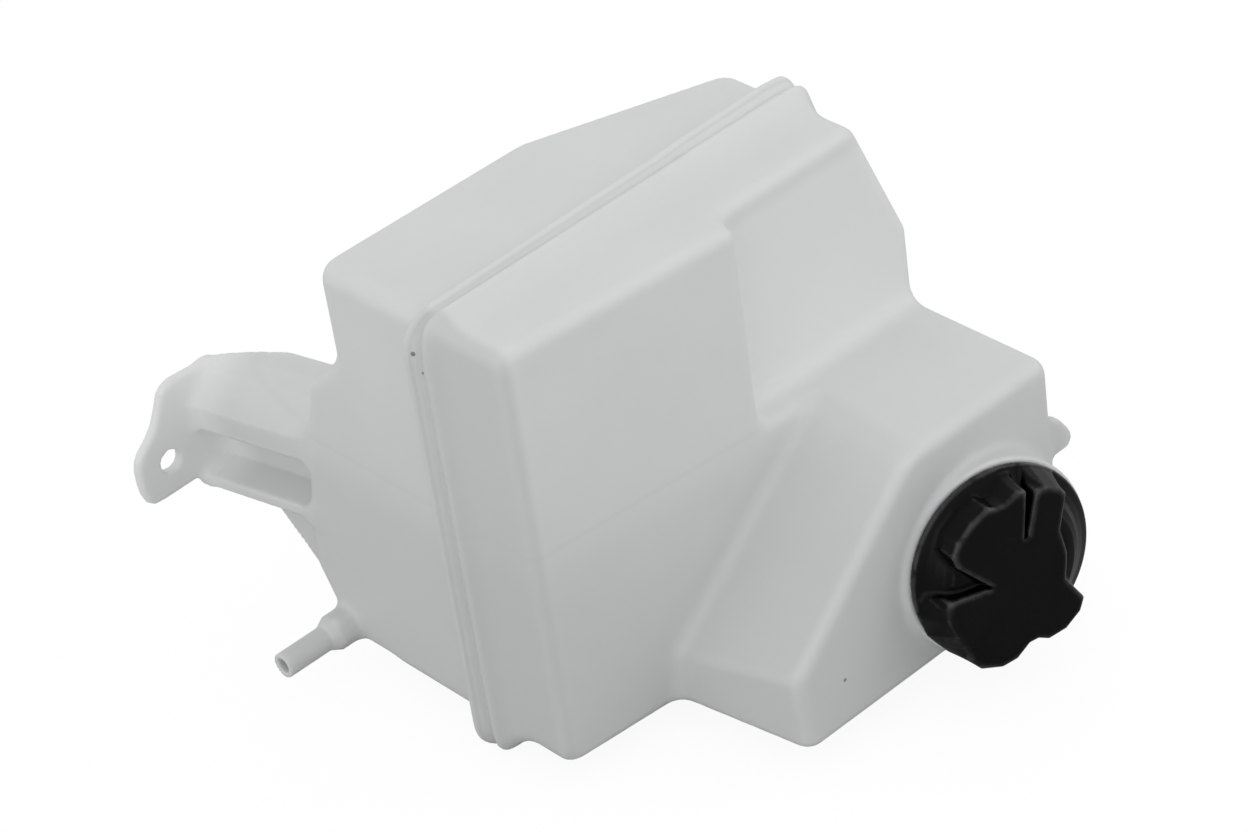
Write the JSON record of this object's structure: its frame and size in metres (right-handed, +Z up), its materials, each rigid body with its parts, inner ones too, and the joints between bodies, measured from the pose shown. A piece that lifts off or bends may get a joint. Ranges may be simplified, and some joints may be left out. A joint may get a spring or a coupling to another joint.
{
  "type": "coolant expansion tank",
  "caption": "Translucent moulded coolant expansion tank with an offset filler neck, black screw cap with pressure valve, bracket arm and hose nipple.",
  "frame": {"origin": "centre of the bracket hole at the ear's front face", "axes": "+X to the right along the tank seen from the cap, +Y away from the cap along the bracket hole, +Z up"},
  "size_m": [0.2122, 0.2652, 0.174],
  "materials": {
    "front_shell": "translucent white polypropylene, satin moulded surface",
    "rear_shell": "translucent white polypropylene, satin moulded surface",
    "cap": "black moulded plastic, satin",
    "core_plastic": "dark glass-filled plastic",
    "retainer_plastic": "pale natural plastic",
    "seal_rubber": "black moulded rubber",
    "spring_steel": "drawn spring wire",
    "valve_brass": "turned brass"
  },
  "bodies": {
    "tank": {"front_shell": "front_shell", "rear_shell": "rear_shell"},
    "cap": {"cap_knob": "cap"},
    "core": {"neck_gasket": "seal_rubber", "core_body": "core_plastic", "core_cover": "core_plastic", "core_o_ring": "seal_rubber", "spring_retainer": "retainer_plastic", "pressure_spring": "spring_steel"},
    "pressure_valve": {"pressure_disc": "valve_brass", "pressure_seal": "seal_rubber", "vacuum_spring": "spring_steel"},
    "vacuum_valve": {"vacuum_valve": "valve_brass", "vacuum_collar": "spring_steel"}
  },
  "joints": [
    {"name": "cap_lift", "type": "slide", "parent": "tank", "child": "core", "axis": [-0.2317, -0.9651, 0.1219], "range_m": [0, 0.006]},
    {"name": "cap_turn", "type": "hinge", "parent": "core", "child": "cap", "pos_m": [0.1439, -0.241, -0.0157], "axis": [-0.2317, -0.9651, 0.1219], "range_deg": [0, 540]},
    {"name": "pressure_lift", "type": "slide", "parent": "core", "child": "pressure_valve", "axis": [-0.2317, -0.9651, 0.1219], "range_m": [0, 0.0025], "stiffness_N_per_m": 1500, "springref_m": -0.002, "deforming": ["pressure_spring"]},
    {"name": "vacuum_open", "type": "slide", "parent": "pressure_valve", "child": "vacuum_valve", "axis": [0.2317, 0.9651, -0.1219], "range_m": [0, 0.0012], "stiffness_N_per_m": 80, "springref_m": -0.002, "deforming": ["vacuum_spring"]}
  ],
  "couplings": [
    {"joint": "cap_turn", "follows": "cap_lift", "rad_per_m": 1570.8}
  ]
}
